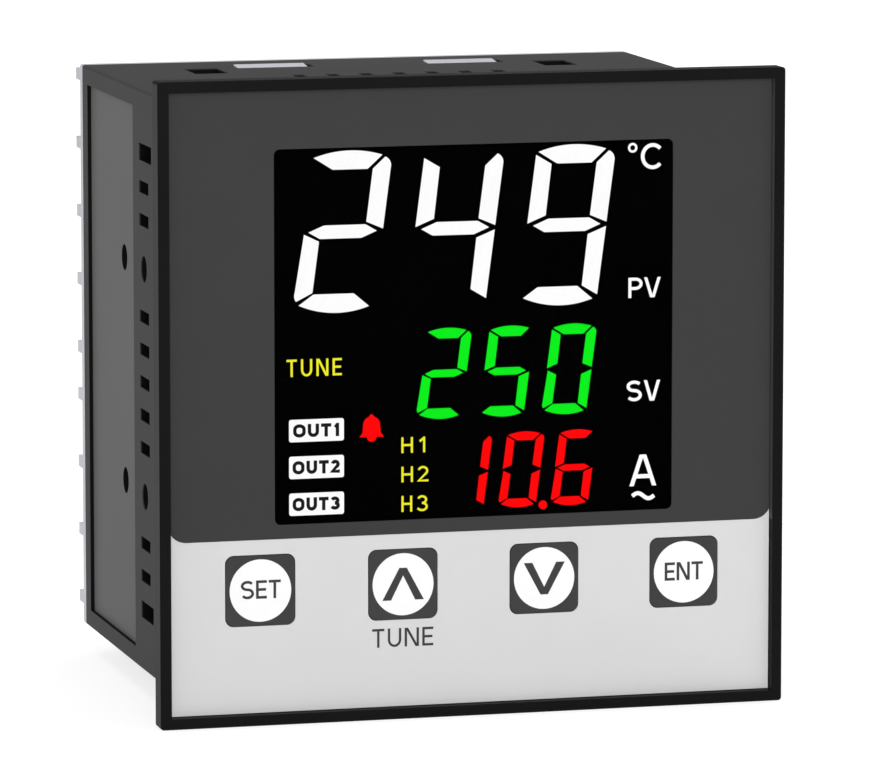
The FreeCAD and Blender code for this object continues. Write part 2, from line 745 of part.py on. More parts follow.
# ---- write every node ----------------------------------------------------------------------
save("front_frame", front_frame())
save("front_film", front_film())
save("upper_field", upper_field())
save("display_window", display_window())
save("display_glass", display_glass())
save("process_value", process_value())
save("set_value", set_value())
save("current_value", current_value())
save("output_flags", output_flags())
save("alarm_bell", alarm_bell())
save("backlight", backlight())
save("display_board", display_board())
save("board_screws", board_screws())
save("microcontroller", microcontroller())
for key_name, key_x in zip(KEY_NAMES, KEY_XS):
    save(key_name + "_key_cap", key_cap(key_x))
    save(key_name + "_key_disc", key_disc(key_x))
    save(key_name + "_switch_plunger", switch_plunger(key_x))
save("tact_switches", [tact_switch(x) for x in KEY_XS])
save("housing", housing())
save("rear_cover", rear_cover())

for group, top_z, cell_count in (("upper", UPPER_TOP_Z, UPPER_CELLS),
                                 ("lower", LOWER_TOP_Z, LOWER_CELLS)):
    right_block, left_block = both_sides(terminal_block(top_z, cell_count))
    save("terminal_block_right_" + group, right_block)
    save("terminal_block_left_" + group, left_block)

tags = []
clamps = []
screws = []
for cell_z in cell_places():
    tags += both_sides(terminal_tag(cell_z))
    clamps += both_sides(terminal_clamp(cell_z))
    screws += both_sides(terminal_screw(cell_z))
save("terminal_tags", tags)
save("terminal_clamps", clamps)
save("terminal_screws", screws)

output_board, power_board = both_sides(side_board())
save("output_board", output_board)
save("power_board", power_board)
save("board_links", both_sides(board_link()))
save("transformer_core", transformer_core())
save("transformer_coil", transformer_coil())
save("main_capacitor", supply_capacitor(MAIN_CAPACITOR))
save("filter_capacitor", supply_capacitor(FILTER_CAPACITOR))
for number in (1, 2, 3):
    save("output_relay_" + str(number), output_relay((2 - number) * RELAY_PITCH))
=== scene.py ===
# %% [markdown]
# # A panel temperature controller
# The controller is a black case that sits in a square hole in a panel door. Its front has a
# printed film, a lit display and four keys, and its back has screw terminals for the wires.
# The solids come from a CAD model that is already the right size. In this lesson Blender
# gives each of them its finish, softens the moulded edges, adds the lettering and the small
# hardware, and sets up the studio.

# %% Load the CAD frame
import math
import bmesh
import bpy
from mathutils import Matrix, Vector


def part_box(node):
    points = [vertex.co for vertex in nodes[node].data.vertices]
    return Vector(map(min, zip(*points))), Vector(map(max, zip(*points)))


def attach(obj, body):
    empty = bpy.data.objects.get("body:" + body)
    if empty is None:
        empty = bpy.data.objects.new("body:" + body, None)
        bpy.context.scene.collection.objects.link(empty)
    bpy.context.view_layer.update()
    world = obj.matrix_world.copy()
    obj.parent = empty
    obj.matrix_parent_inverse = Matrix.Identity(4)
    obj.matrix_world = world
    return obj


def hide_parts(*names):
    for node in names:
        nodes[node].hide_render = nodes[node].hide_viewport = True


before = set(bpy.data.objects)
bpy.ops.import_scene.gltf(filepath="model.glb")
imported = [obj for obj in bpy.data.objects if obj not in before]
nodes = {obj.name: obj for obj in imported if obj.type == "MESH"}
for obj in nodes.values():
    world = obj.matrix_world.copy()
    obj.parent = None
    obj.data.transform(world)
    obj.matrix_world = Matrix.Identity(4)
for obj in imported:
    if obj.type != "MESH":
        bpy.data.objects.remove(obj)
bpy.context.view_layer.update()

# %% [markdown]
# ## Sizes
# Blender works in metres here, and the controller is 96 mm wide, so every size below is
# written in millimetres times `MM`. Places on the front are measured from solids that the
# CAD model already holds, which keeps the lettering on its key when a key moves.

# %% Sizes taken from the solids
MM = 0.001


def middle(node):
    """Centre of a solid's box."""
    low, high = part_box(node)
    return (low + high) / 2


FRAME_LOW, FRAME_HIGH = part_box("front_frame")
FILM_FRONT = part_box("front_film")[0].y
LIT_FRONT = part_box("process_value")[0].y
DISC_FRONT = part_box("set_key_disc")[0].y
COVER_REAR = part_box("rear_cover")[1].y
PRINT = 0.03 * MM          # how thick printed lettering is
KEYS = ["set", "up", "down", "enter"]
print("frame side", round((FRAME_HIGH.x - FRAME_LOW.x) / MM, 2), "mm")

# %% [markdown]
# ## Sums with sockets
# A material is a graph of nodes, and a graph is slow to read as code. The small class below
# wraps one output of a node, so that `mask * 0.2 + 0.1` adds the Math nodes by itself. It
# has the reflected operators too, because Python calls those when the number comes first,
# as in `1 - mask`.

# %% A socket that can be used in a sum


class Wire:
    """One output of a node, for use in Python sums."""

    def __init__(self, graph, socket):
        self.graph = graph
        self.socket = socket

    def math(self, operation, first, second):
        return self.graph.add("ShaderNodeMath", {"operation": operation}, [first, second])

    def __add__(self, other):
        return self.math("ADD", self, other)

    def __sub__(self, other):
        return self.math("SUBTRACT", self, other)

    def __rsub__(self, other):
        return self.math("SUBTRACT", other, self)

    def __mul__(self, other):
        return self.math("MULTIPLY", self, other)

    __radd__ = __add__
    __rmul__ = __mul__


print("sums ready:", [name for name in ("__add__", "__rsub__", "__rmul__") if hasattr(Wire, name)])

# %% [markdown]
# ## One way to add any node
# Every other node comes from one method. It takes the node's type, then its settings, which
# must be set first because they change which sockets a node has, then the values or links of
# its sockets. Materials and Geometry Nodes share it, since both are node trees.

# %% A node tree that is easy to add to


class Graph:
    """A node tree under construction."""

    def __init__(self, tree):
        self.tree = tree

    def put(self, socket, value):
        if isinstance(value, Wire):
            self.tree.links.new(value.socket, socket)
        else:
            socket.default_value = value

    def add(self, kind, settings=None, inputs=(), out=0):
        node = self.tree.nodes.new(kind)
        for name, value in (settings or {}).items():
            setattr(node, name, value)
        pairs = inputs.items() if isinstance(inputs, dict) else enumerate(inputs)
        for key, value in pairs:
            self.put(node.inputs[key], value)
        return Wire(self, node.outputs[out])


def linear(level):
    """Scene value of one 0 to 255 display level."""
    share = level / 255
    return share / 12.92 if share <= 0.04045 else ((share + 0.055) / 1.055) ** 2.4


def colour(red, green=None, blue=None):
    """Colour as it should read on screen; one number alone is a grey."""
    levels = (red, red, red) if green is None else (red, green, blue)
    return tuple(linear(level) for level in levels) + (1.0,)


def dimmed(tone, share):
    """The same colour with only a share of its light."""
    return tuple(share * level for level in tone[:3]) + (1.0,)


def grey(level):
    """Grey of a scene value, which is not the same as a display level."""
    return (level, level, level, 1.0)


print("a mid grey of 128 is", round(colour(128)[0], 3), "to the renderer")

# %% [markdown]
# ## A finish
# A finish starts from the Principled shader. Numbers that are the same all over the surface,
# such as the specular level, go straight on its sockets. What changes over the surface is
# linked. Patterns read Object coordinates, so they keep their real scale: a grain of
# 0.3 mm is a noise whose scale is one over 0.3 mm.

# %% A material with a Principled shader


class Finish(Graph):
    """A material with one Principled shader."""

    def __init__(self, name, **fixed):
        self.name = name
        self.material = bpy.data.materials.new(name)
        self.material.use_nodes = True
        super().__init__(self.material.node_tree)
        self.tree.nodes.clear()
        self.shader = self.tree.nodes.new("ShaderNodeBsdfPrincipled")
        output = self.tree.nodes.new("ShaderNodeOutputMaterial")
        self.tree.links.new(self.shader.outputs[0], output.inputs["Surface"])
        self.place = self.add("ShaderNodeTexCoord", out="Object")
        for socket, value in fixed.items():
            self.put(self.shader.inputs[socket.replace("_", " ")], value)

    def link(self, socket, value):
        self.put(self.shader.inputs[socket], value)

    def axes(self):
        """The three object coordinates, each as a wire."""
        spot = {"Vector": self.place}
        return [self.add("ShaderNodeSeparateXYZ", {}, spot, axis) for axis in "XYZ"]

    def size_of(self, value):
        """Value without its sign."""
        return self.add("ShaderNodeMath", {"operation": "ABSOLUTE"}, [value])

    def noise(self, size, detail=2.0, rough=0.5):
        """Noise whose blotches are about `size` metres across."""
        sockets = {"Vector": self.place, "Scale": 1 / size, "Detail": detail, "Roughness": rough}
        return self.add("ShaderNodeTexNoise", {}, sockets, "Fac")

    def step(self, value, low, high):
        """0 below `low`, 1 above `high`, and a ramp between them."""
        inputs = {"Value": value, "From Min": low, "From Max": high}
        return self.add("ShaderNodeMapRange", {"clamp": True}, inputs, "Result")

    def mix(self, share, first, second):
        """Colour between two colours."""
        settings = {"data_type": "RGBA"}
        return self.add("ShaderNodeMix", settings, {0: share, 6: first, 7: second}, 2)

    def cloudy(self, noise, spread, dark, light):
        """Two tones: one in a noise's lows, one in its highs, and a ramp of twice the spread."""
        return self.mix(self.step(noise, 0.5 - spread, 0.5 + spread), dark, light)

    def relief(self, height, depth, strength=1.0):
        """Small relief of the surface, `depth` metres from its lows to its highs."""
        inputs = {"Height": height, "Distance": depth, "Strength": strength}
        self.link("Normal", self.add("ShaderNodeBump", {}, inputs))


finishes = {}


def keep(finish):
    """File a finish under its own name."""
    finishes[finish.name] = finish.material
    return finish


print("finishes can be made")

# %% [markdown]
# ## Moulded plastic
# The frame, the housing and the cover come out of steel moulds whose faces were spark
# eroded. That leaves a fine even grain with a little broad cloudiness from how the plastic
# flowed. One function makes the frame, the cover and the smaller plastic parts, because only
# the tone, the grain and the gloss differ; the housing has a function of its own below. The
# specular level is low: spark-eroded plastic hardly mirrors what is in front of it, but it
# still brightens where it is seen at a shallow angle.

# %% Spark-eroded plastic
GRAIN = 0.32 * MM          # size of the grain that the mould leaves
GRAIN_DEPTH = 0.010 * MM
CLOUD = 22 * MM            # size of the broad cloudiness
CLOUD_SPREAD = 0.2
CLOUD_SHADE = 0.86         # light that the darkest part of a cloud keeps


def moulded(name, tone, grain=GRAIN, depth=GRAIN_DEPTH, gloss=0.05, rough=0.42):
    """Plastic with a spark-eroded grain; `tone` is the colour it reads as."""
    finish = keep(Finish(name, Specular_IOR_Level=gloss))
    cloud = finish.noise(CLOUD, 3.0)
    grains = finish.noise(grain, 3.0, 0.6)
    finish.tone = finish.cloudy(cloud, CLOUD_SPREAD, dimmed(tone, CLOUD_SHADE), tone)
    finish.link("Base Color", finish.tone)
    finish.link("Roughness", finish.step(cloud, 0.0, 1.0) * 0.06 + grains * 0.08 + (rough - 0.07))
    finish.relief(grains, depth)
    return finish


moulded("cover_pale", colour(206, 208, 214), gloss=0.1, rough=0.5)
moulded("key_grey", colour(67), grain=0.22 * MM, depth=0.006 * MM)
moulded("terminal_black", colour(34), gloss=0.25)
moulded("backlight_white", colour(236), gloss=0.3)
moulded("chip_black", colour(38), grain=0.12 * MM, gloss=0.25)
moulded("relay_blue", colour(38, 62, 112), gloss=0.4, rough=0.3)
moulded("can_sleeve", colour(34, 40, 62), gloss=0.5, rough=0.25)
print(sorted(finishes))

# %% [markdown]
# ## The housing's two tones
# Each side of the housing has a shallow field, 0.65 mm deep, that was left smoother than
# the rest and looks paler. It is one piece of plastic, so it stays one material, and masks
# find each region by its distance from the middle, its place along the case and its height.
# The step round the field and everything inside the vents get a painted shade: a dark
# colour in place of the shadow of places that hardly see the lamps.

# %% The housing with its paler side fields
HOUSING_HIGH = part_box("housing")[1]
FIELD_DEPTH = 0.65 * MM
FIELD_Y = (30.8 * MM, 63.6 * MM)
FIELD_HALF = 41.4 * MM
THIN = 0.03 * MM           # width of a mask's ramp
HOUSING_CLOUD = 26 * MM
HOUSING_GLOSS = 0.006
PLAIN_TONES = (colour(67), colour(71))
SMOOTH_TONES = (colour(99), colour(103))
# painted shade for the step round each field and the insides of the vents
PAINTED_SHADE_TONE = colour(24)


def housing_black():
    finish = keep(Finish("housing_black", Specular_IOR_Level=HOUSING_GLOSS))
    x, y, z = finish.axes()
    away, up = finish.size_of(x), finish.size_of(z)
    floor_x = HOUSING_HIGH.x - FIELD_DEPTH
    side = finish.step(away, HOUSING_HIGH.x - 7 * THIN, HOUSING_HIGH.x - 5 * THIN)
    lid = finish.step(up, HOUSING_HIGH.z - 7 * THIN, HOUSING_HIGH.z - 5 * THIN)
    along = (finish.step(y, FIELD_Y[0] - 2 * THIN, FIELD_Y[0] - THIN)
             * finish.step(y, FIELD_Y[1] + 2 * THIN, FIELD_Y[1] + THIN))
    within = along * finish.step(up, FIELD_HALF + 2 * THIN, FIELD_HALF + THIN)
    low = finish.step(away, floor_x + 2 * THIN, floor_x + THIN)
    field = low * finish.step(away, floor_x - 2 * THIN, floor_x - THIN) * within
    # the step round the field, which gets the painted shade
    edge = within * (1 - low) * finish.step(away, HOUSING_HIGH.x - THIN, HOUSING_HIGH.x - 2 * THIN)
    shown = finish.step(side + lid + field, 0.0, 1.0) * (1 - edge)
    cloud = finish.noise(HOUSING_CLOUD, 3.0)
    grains = finish.noise(GRAIN, 3.0, 0.6)
    plain = finish.cloudy(cloud, CLOUD_SPREAD, *PLAIN_TONES)
    smooth = finish.cloudy(cloud, CLOUD_SPREAD, *SMOOTH_TONES)
    outside = finish.mix(field, plain, smooth)
    # painted shade wherever shown is 0: the step, the vents' insides and every face that is not an outer
    # side, top, bottom or field
    finish.link("Base Color", finish.mix(shown, PAINTED_SHADE_TONE, outside))
    finish.link("Roughness", grains * 0.08 + cloud * 0.06 + (0.36 - field * 0.06))
    finish.relief(grains * (1 - field * 0.7), GRAIN_DEPTH)


housing_black()
print("field floor at", round((HOUSING_HIGH.x - FIELD_DEPTH) / MM, 2), "mm from the middle")

# %% [markdown]
# ## The frame's inner rim
# The film lies a little below the rim of the frame. Beside the dark field the polished inner
# side of that rim would mirror the field, so a painted reflection colours it almost as grey
# as the field itself. The same kind of mask finds it: the sides of the pocket, above the
# field's lower edge.

# %% Painted reflection on the pocket's sides
POCKET_HALF = 46.35 * MM
# painted reflection: the grey that the pocket's sides show in place of the dark field they mirror
RIM_REFLECTION_PAINT = colour(84)
FIELD_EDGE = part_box("upper_field")[0].z


def rim_sheen():
    finish = moulded("frame_black", colour(22), gloss=0.03)
    x, y, z = finish.axes()
    away = finish.size_of(x)
    depth = (finish.step(y, FRAME_LOW.y + 2 * THIN, FRAME_LOW.y + 8 * THIN)
             * finish.step(y, FILM_FRONT + 12 * THIN, FILM_FRONT + 10 * THIN))
    side = finish.step(away, POCKET_HALF + 2 * THIN, POCKET_HALF + THIN)
    below = finish.step(z, POCKET_HALF + 2 * THIN, POCKET_HALF + THIN)
    # mask of the painted reflection: the pocket's sides above the field's lower edge
    painted_reflection = depth * side * below * finish.step(z, FIELD_EDGE, FIELD_EDGE + THIN)
    finish.link("Base Color", finish.mix(painted_reflection, finish.tone, RIM_REFLECTION_PAINT))


rim_sheen()
print("pocket", round(2 * POCKET_HALF / MM, 2), "mm wide")

# %% [markdown]
# ## Film and print
# The front is a polyester film, printed from behind and lightly brushed so that it doesn't
# shine. Its light part and its dark field are two inks under the same surface, so one
# function makes both. White print on the keys is the same again, a little glossier. The
# light film's own cut edge would gleam round the display window, so there it gets a painted
# shade that hides the gleam.

# %% Printed film
TOOTH = 0.16 * MM          # size of the brushed surface's tooth
TOOTH_DEPTH = 0.004 * MM
INK_CLOUD = 9 * MM
INK_SPREAD = 0.15
INK_SHADE = 0.985          # light that the thinnest part of an ink keeps
# painted shade for the light film's cut edge round the display window
PAINTED_EDGE_SHADE = colour(30)


def film(name, tone, gloss=0.1, rough=0.5, cut=None):
    finish = keep(Finish(name, Specular_IOR_Level=gloss))
    tooth = finish.noise(TOOTH, 2.0)
    ink = finish.noise(INK_CLOUD, 3.0)
    printed = finish.cloudy(ink, INK_SPREAD, dimmed(tone, INK_SHADE), tone)
    if cut:
        x, _, z = finish.axes()
        beside = finish.step(finish.size_of(x), cut[1].x + 40 * THIN, cut[1].x + 30 * THIN)
        above = finish.step(z, cut[0].z - 20 * THIN, cut[0].z - 10 * THIN)
        # painted shade on the cut edge round the window, in place of its gleam
        printed = finish.mix(beside * above, printed, PAINTED_EDGE_SHADE)
    finish.link("Base Color", printed)
    finish.link("Roughness", tooth * 0.1 + (rough - 0.05))
    finish.relief(tooth, TOOTH_DEPTH)


film("film_light", colour(218), cut=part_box("display_window"))
film("film_dark", colour(62), gloss=0.04)
film("disc_white", colour(253), rough=0.4)
film("ink_dark", colour(62))
film("ink_black", colour(8))
print(len(finishes), "finishes so far")

# %% [markdown]
# ## The display
# The glass is black where nothing is lit, and the window in front of it is clear film with
# an anti-glare coat. Lit segments are made to glow by themselves, so they keep their colour
# in any light. A real segment is a touch brighter in its middle region than near its ends,
# and broad noise gives that unevenness.

# %% Glass, window and lit segments
GLOW = 1.04
GLOW_CLOUD = 4 * MM
GLOW_SHADE = 0.985         # light that the dimmest part of a segment keeps


def lit(name, tone):
    finish = keep(Finish(name, Roughness=0.5, Specular_IOR_Level=0.0, Emission_Strength=GLOW))
    glow = finish.step(finish.noise(GLOW_CLOUD, 1.0), 0.2, 0.6)
    finish.link("Emission Color", finish.mix(glow, dimmed(tone, GLOW_SHADE), tone))
    finish.link("Base Color", finish.mix(glow, colour(0), colour(2)))


def display_glass():
    finish = keep(Finish("display_black", Specular_IOR_Level=0.0))
    haze = finish.noise(12 * MM, 2.0)
    finish.link("Base Color", finish.mix(haze, colour(1), colour(3)))
    finish.link("Roughness", haze * 0.1 + 0.2)


def window_clear():
    finish = keep(Finish("window_clear", Specular_IOR_Level=0.1))
    tooth = finish.noise(0.25 * MM, 2.0)
    finish.link("Base Color", finish.mix(tooth, colour(0), colour(6)))
    finish.link("Roughness", tooth * 0.08 + 0.16)
    finish.link("Alpha", tooth * 0.01 + 0.03)


lit("lit_white", colour(254))
lit("lit_green", colour(14, 238, 30))
lit("lit_red", colour(255, 8, 10))
lit("lit_yellow", colour(236, 232, 44))
display_glass()
window_clear()
print([name for name in finishes if name.startswith("lit")])

# %% [markdown]
# ## Metal, boards and winding
# Screws are zinc plated, and clamps and tags are tinned. Both are metals, so Metallic is 1
# and the detail is in the roughness: zinc is drawn in fine scratches and tin is cloudy. The
# circuit boards are green with a faint copper pattern showing through their lacquer.

# %% Metal and board finishes
METAL_SHADE = 0.8          # light that the dullest part of a metal keeps


def metal(name, tone, rough, streak):
    """Plated metal; a streak under 1 draws its scratches out along Z."""
    finish = keep(Finish(name, Metallic=1.0))
    sockets = {"Vector": finish.place, "Scale": (1.0, 1.0, streak)}
    drawn = finish.add("ShaderNodeMapping", {}, sockets)
    inputs = {"Vector": drawn, "Scale": 1 / (0.5 * MM), "Detail": 4.0}
    scratch = finish.add("ShaderNodeTexNoise", {}, inputs, "Fac")
    cloud = finish.noise(2.5 * MM, 2.0)
    finish.link("Base Color", finish.mix(cloud, dimmed(tone, METAL_SHADE), tone))
    finish.link("Roughness", scratch * 0.2 + (rough - 0.1))
    finish.relief(scratch, 0.006 * MM)


def board_green():
    finish = keep(Finish("board_green", Specular_IOR_Level=0.5))
    sockets = {"Vector": finish.place, "Scale": 1 / (1.6 * MM)}
    cells = finish.add("ShaderNodeTexVoronoi", {"distance": "CHEBYCHEV"}, sockets, "Distance")
    tracks = finish.step(cells, 0.42, 0.46)
    finish.link("Base Color", finish.mix(tracks, colour(22, 92, 54), colour(30, 116, 66)))
    finish.link("Roughness", tracks * 0.05 + 0.28)
    finish.relief(tracks, 0.02 * MM)


def winding_tape():
    finish = keep(Finish("winding_tape", Specular_IOR_Level=0.5))
    sockets = {"Vector": finish.place, "Scale": 1 / (4 * MM), "Distortion": 1.5}
    wave = finish.add("ShaderNodeTexWave", {"bands_direction": "Z"}, sockets, "Fac")
    lap = finish.step(wave, 0.4, 0.6)
    finish.link("Base Color", finish.mix(lap, colour(196, 158, 48), colour(220, 186, 70)))
    finish.link("Roughness", 0.3 + lap * 0.1)
    finish.relief(lap, 0.05 * MM)


def core_iron():
    finish = keep(Finish("core_iron", Metallic=0.6))
    sockets = {"Vector": finish.place, "Scale": 1 / (1.2 * MM)}
    wave = finish.add("ShaderNodeTexWave", {"bands_direction": "X"}, sockets, "Fac")
    sheets = finish.step(wave, 0.1, 0.3)
    finish.link("Base Color", finish.mix(sheets, colour(30), colour(98, 98, 104)))
    finish.link("Roughness", 0.6 - sheets * 0.15)
    finish.relief(sheets, 0.05 * MM)


metal("zinc", colour(196, 196, 190), 0.34, 0.15)
metal("tin", colour(206, 205, 200), 0.42, 1.0)
board_green()
winding_tape()
core_iron()
print(len(finishes), "finishes in all")

# %% [markdown]
# ## Every solid gets its finish
# Most solids already have the right shape, so they stay and only their material slots are
# filled. A table from a part of the name to the finish is shorter than naming all of them.

# %% Dress the solids
DRESS = {
    "front_frame": "frame_black", "front_film": "film_light", "upper_field": "film_dark",
    "display_window": "window_clear", "display_glass": "display_black",
    "process_value": "lit_white", "set_value": "lit_green", "current_value": "lit_red",
    "output_flags": "lit_white", "alarm_bell": "lit_red", "backlight": "backlight_white",
    "display_board": "board_green", "board_screws": "zinc", "microcontroller": "chip_black",
    "key_cap": "key_grey", "key_disc": "disc_white", "switch_plunger": "backlight_white",
    "tact_switches": "chip_black", "housing": "housing_black", "rear_cover": "cover_pale",
    "terminal_tags": "tin", "terminal_clamps": "tin", "terminal_screws": "zinc",
    "output_board": "board_green", "power_board": "board_green", "board_links": "chip_black",
    "transformer_core": "core_iron", "transformer_coil": "winding_tape",
    "capacitor": "can_sleeve", "output_relay": "relay_blue", "terminal_block": "terminal_black",
}


def finish_of(node):
    """Material for a solid, by the longest table entry that its name holds."""
    matches = [key for key in DRESS if key in node]
    return finishes[DRESS[max(matches, key=len)]]


for name, solid in nodes.items():
    solid.data.materials.clear()
    solid.data.materials.append(finish_of(name))
print(len(nodes), "solids dressed")

# %% [markdown]
# ## Soft moulded edges
# No mould has a perfectly sharp edge, and the thin bright line along a real edge comes from
# its small radius. The solids have none that small, so the big mouldings are copied, their
# triangles are merged back into whole faces, and a Bevel modifier rounds every edge sharper
# than 30 degrees. The faces stay flat shaded: smooth shading would bend the light across
# the large flat walls, and the rounds are too small to show their facets.

# %% Copies with rounded edges
WELD = 0.002 * MM          # corners closer than this are one corner
FLAT_ANGLE = math.radians(1)
SHARP_ANGLE = math.radians(30)
FRAME_ROUND = 0.08 * MM
CASE_ROUND = 0.15 * MM
KEY_ROUND = 0.06 * MM


def finished_piece(name, mesh, body, slot, *stands_for):
    """Put a mesh in the scene as a piece that rides on a body."""
    piece = bpy.data.objects.new(name, mesh)
    bpy.context.scene.collection.objects.link(piece)
    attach(piece, body)
    if stands_for:
        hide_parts(*stands_for)
    return piece


def baked(piece):
    """The mesh that an object shows once its modifiers have run."""
    view = bpy.context.evaluated_depsgraph_get()
    mesh = bpy.data.meshes.new_from_object(piece.evaluated_get(view))
    bpy.data.objects.remove(piece)
    return mesh


def softened(node, radius, body, slot):
    """Stand-in for a solid, the same but for its rounded edges."""
    mesh = nodes[node].data.copy()
    work = bmesh.new()
    work.from_mesh(mesh)
    bmesh.ops.remove_doubles(work, verts=work.verts, dist=WELD)
    bmesh.ops.dissolve_limit(work, angle_limit=FLAT_ANGLE, verts=work.verts, edges=work.edges)
    work.to_mesh(mesh)
    work.free()
    blank = bpy.data.objects.new(node + "_edges", mesh)
    bpy.context.scene.collection.objects.link(blank)
    bevel = blank.modifiers.new("edges", "BEVEL")
    bevel.width = radius
    bevel.segments = 2
    bevel.limit_method = "ANGLE"
    bevel.angle_limit = SHARP_ANGLE
    bevel.use_clamp_overlap = True
    mesh = baked(blank)
    mesh.polygons.foreach_set("use_smooth", [False] * len(mesh.polygons))
    return finished_piece(node + "_moulding", mesh, body, slot, node)


softened("front_frame", FRAME_ROUND, "case", "black_plastic")
softened("housing", CASE_ROUND, "case", "black_plastic")
softened("rear_cover", CASE_ROUND, "case", "pale_plastic")
for key in KEYS:
    softened(key + "_key_cap", KEY_ROUND, key + "_key", "key_plastic")

# %% [markdown]
# ## Strokes of ink and light
# Lettering is print or light, so it is a very thin solid. A text object would bring its own
# type face, so the letters are drawn here from strokes, as a draughtsman's stencil does: a
# path down the middle of the pen, and a width to either side. Where a path turns, the two
# edges meet in a mitre. Strokes of one letter cross each other, and two faces in one plane
# would flicker, so each new stroke stands two thousandths of a millimetre prouder.

# %% A sheet of strokes
LAYER = 0.002 * MM         # how much prouder each new stroke stands
MITRE_LIMIT = 0.55         # keeps the mitre of a very sharp turn short


def bow(centre, radii, start, end, steps=14):
    """Points along part of an ellipse, between two angles in degrees."""
    points = []
    for step in range(steps + 1):
        angle = math.radians(start + (end - start) * step / steps)
        points.append((centre[0] + radii[0] * math.cos(angle), centre[1] + radii[1] * math.sin(angle)))
    return points


def pen_rows(path, half, ring=False):
    """Left and right edge points of a stroke along a path, with mitred corners."""
    spots = [Vector(point) for point in path]
    rows = []
    for number, here in enumerate(spots):
        ways = []
        if ring or number:
            ways.append((here - spots[number - 1]).normalized())
        if ring or number < len(spots) - 1:
            ways.append((spots[(number + 1) % len(spots)] - here).normalized())
        way = (ways[0] + ways[-1]).normalized()
        side = Vector((-way.y, way.x)) * (half / max(MITRE_LIMIT, way.dot(ways[0])))
        rows.append((here + side, here - side))
    return rows


class Print:
    """Thin solids on a surface which faces -Y, or +Y for a sense of -1."""

    def __init__(self, front, sense=1, thick=PRINT):
        self.shape = bmesh.new()
        self.sense = sense
        self.near = front - sense * thick
        self.far = front + sense * PRINT

    def strip(self, rows, ring=False):
        """Add one stroke through pairs of edge points, each an (x, z) in metres."""
        rings = []
        for left, right in rows:
            spots = ((left, self.near), (right, self.near), (right, self.far), (left, self.far))
            rings.append([self.shape.verts.new((self.sense * x, y, z)) for (x, z), y in spots])
        following = rings[1:] + rings[:1] if ring else rings[1:]
        for here, after in zip(rings, following):
            for side in range(4):
                other = (side + 1) % 4
                self.shape.faces.new((here[side], here[other], after[other], after[side]))
        if not ring:
            self.shape.faces.new(rings[0])
            self.shape.faces.new(rings[-1])
        self.near -= self.sense * LAYER

    def piece(self, name, ink, body, slot):
        """Close the sheet, give it its ink and let it ride on a body."""
        bmesh.ops.recalc_face_normals(self.shape, faces=self.shape.faces)
        mesh = bpy.data.meshes.new(name)
        self.shape.to_mesh(mesh)
        self.shape.free()
        mesh.materials.append(finishes[ink])
        return finished_piece(name, mesh, body, slot)


print("a quarter circle has", len(bow((0, 0), (1, 1), 0, 90)), "points")

# %% [markdown]
# ## An alphabet
# Each letter is its width, as a share of its height, then its strokes and its legs, in a
# frame that runs from 0 to 1 along the middle of the pen. A stroke that ends level or
# upright is lengthened by half the pen, so that corners fill. A leg leans, and is cut off
# level at the top and at the foot.

# %% Letters and figures
ALPHABET = {
    "A": (0.74, [[(0.22, 0.28), (0.78, 0.28)]], [(0, 0, 0.45, 1), (0.55, 1, 1, 0)]),
    "C": (0.72, [bow((0.52, 0.5), (0.52, 0.5), 43, 317, 24)], []),
    "E": (0.54, [[(0, 0), (0, 1)], [(0, 1), (1, 1)], [(0, 0.5), (0.9, 0.5)], [(0, 0), (1, 0)]], []),
    "H": (0.60, [[(0, 0), (0, 1)], [(1, 0), (1, 1)], [(0, 0.5), (1, 0.5)]], []),
    "N": (0.70, [[(0, 0), (0, 1)], [(1, 0), (1, 1)]], [(0.07, 1, 0.93, 0)]),
    "O": (0.74, [bow((0.5, 0.64), (0.5, 0.36), 0, 180) + bow((0.5, 0.36), (0.5, 0.36), 180, 360)], []),
    "P": (0.60, [[(0, 0), (0, 1)],
                 [(0, 1), (0.45, 1)] + bow((0.5, 0.73), (0.5, 0.27), 90, -90) + [(0, 0.46)]], []),
    "S": (0.66, [bow((0.5, 0.76), (0.5, 0.24), 32, 265) + bow((0.5, 0.26), (0.5, 0.26), 85, -150)], []),
    "T": (0.60, [[(0, 1), (1, 1)], [(0.5, 0), (0.5, 1)]], []),
    "U": (0.66, [[(0, 1)] + bow((0.5, 0.38), (0.5, 0.38), 180, 360) + [(1, 1)]], []),
    "V": (0.70, [], [(0, 1, 0.45, 0), (0.55, 0, 1, 1)]),
    "0": (0.56, [bow((0.5, 0.64), (0.5, 0.36), 0, 180) + bow((0.5, 0.36), (0.5, 0.36), 180, 360)], []),
    "1": (0.34, [[(0, 0.74), (1, 1)], [(1, 0), (1, 1)]], []),
    "2": (0.57, [bow((0.5, 0.72), (0.48, 0.28), 165, -38) + [(0.02, 0), (1, 0)]], []),
    "3": (0.59, [bow((0.45, 0.76), (0.48, 0.24), 158, -90), bow((0.45, 0.26), (0.55, 0.26), 90, -158)], []),
    "4": (0.60, [[(0.72, 1), (0, 0.28)], [(0, 0.28), (1, 0.28)], [(0.72, 0), (0.72, 1)]], []),
    "5": (0.54, [[(0.92, 1), (0.1, 1), (0.04, 0.52)] + bow((0.46, 0.31), (0.54, 0.31), 128, -150)], []),
    "6": (0.56, [bow((0.5, 0.3), (0.5, 0.3), 178, -182, 20), bow((0.9, 0.3), (0.9, 0.7), 108, 180)], []),
    "7": (0.54, [[(0, 1), (1, 1), (0.35, 0)]], []),
    "8": (0.56, [bow((0.5, 0.27), (0.5, 0.27), 0, 359, 20), bow((0.5, 0.77), (0.42, 0.23), 0, 359, 20)], []),
    "9": (0.56, [bow((0.5, 0.7), (0.5, 0.3), -2, 358, 20), bow((0.1, 0.7), (0.9, 0.7), -72, 0)], []),
}
RINGS = "O0"
LETTER_GAP = 0.17          # between letters, as a share of their height
LEVEL = 0.02               # a stroke that leans less than this ends level or upright


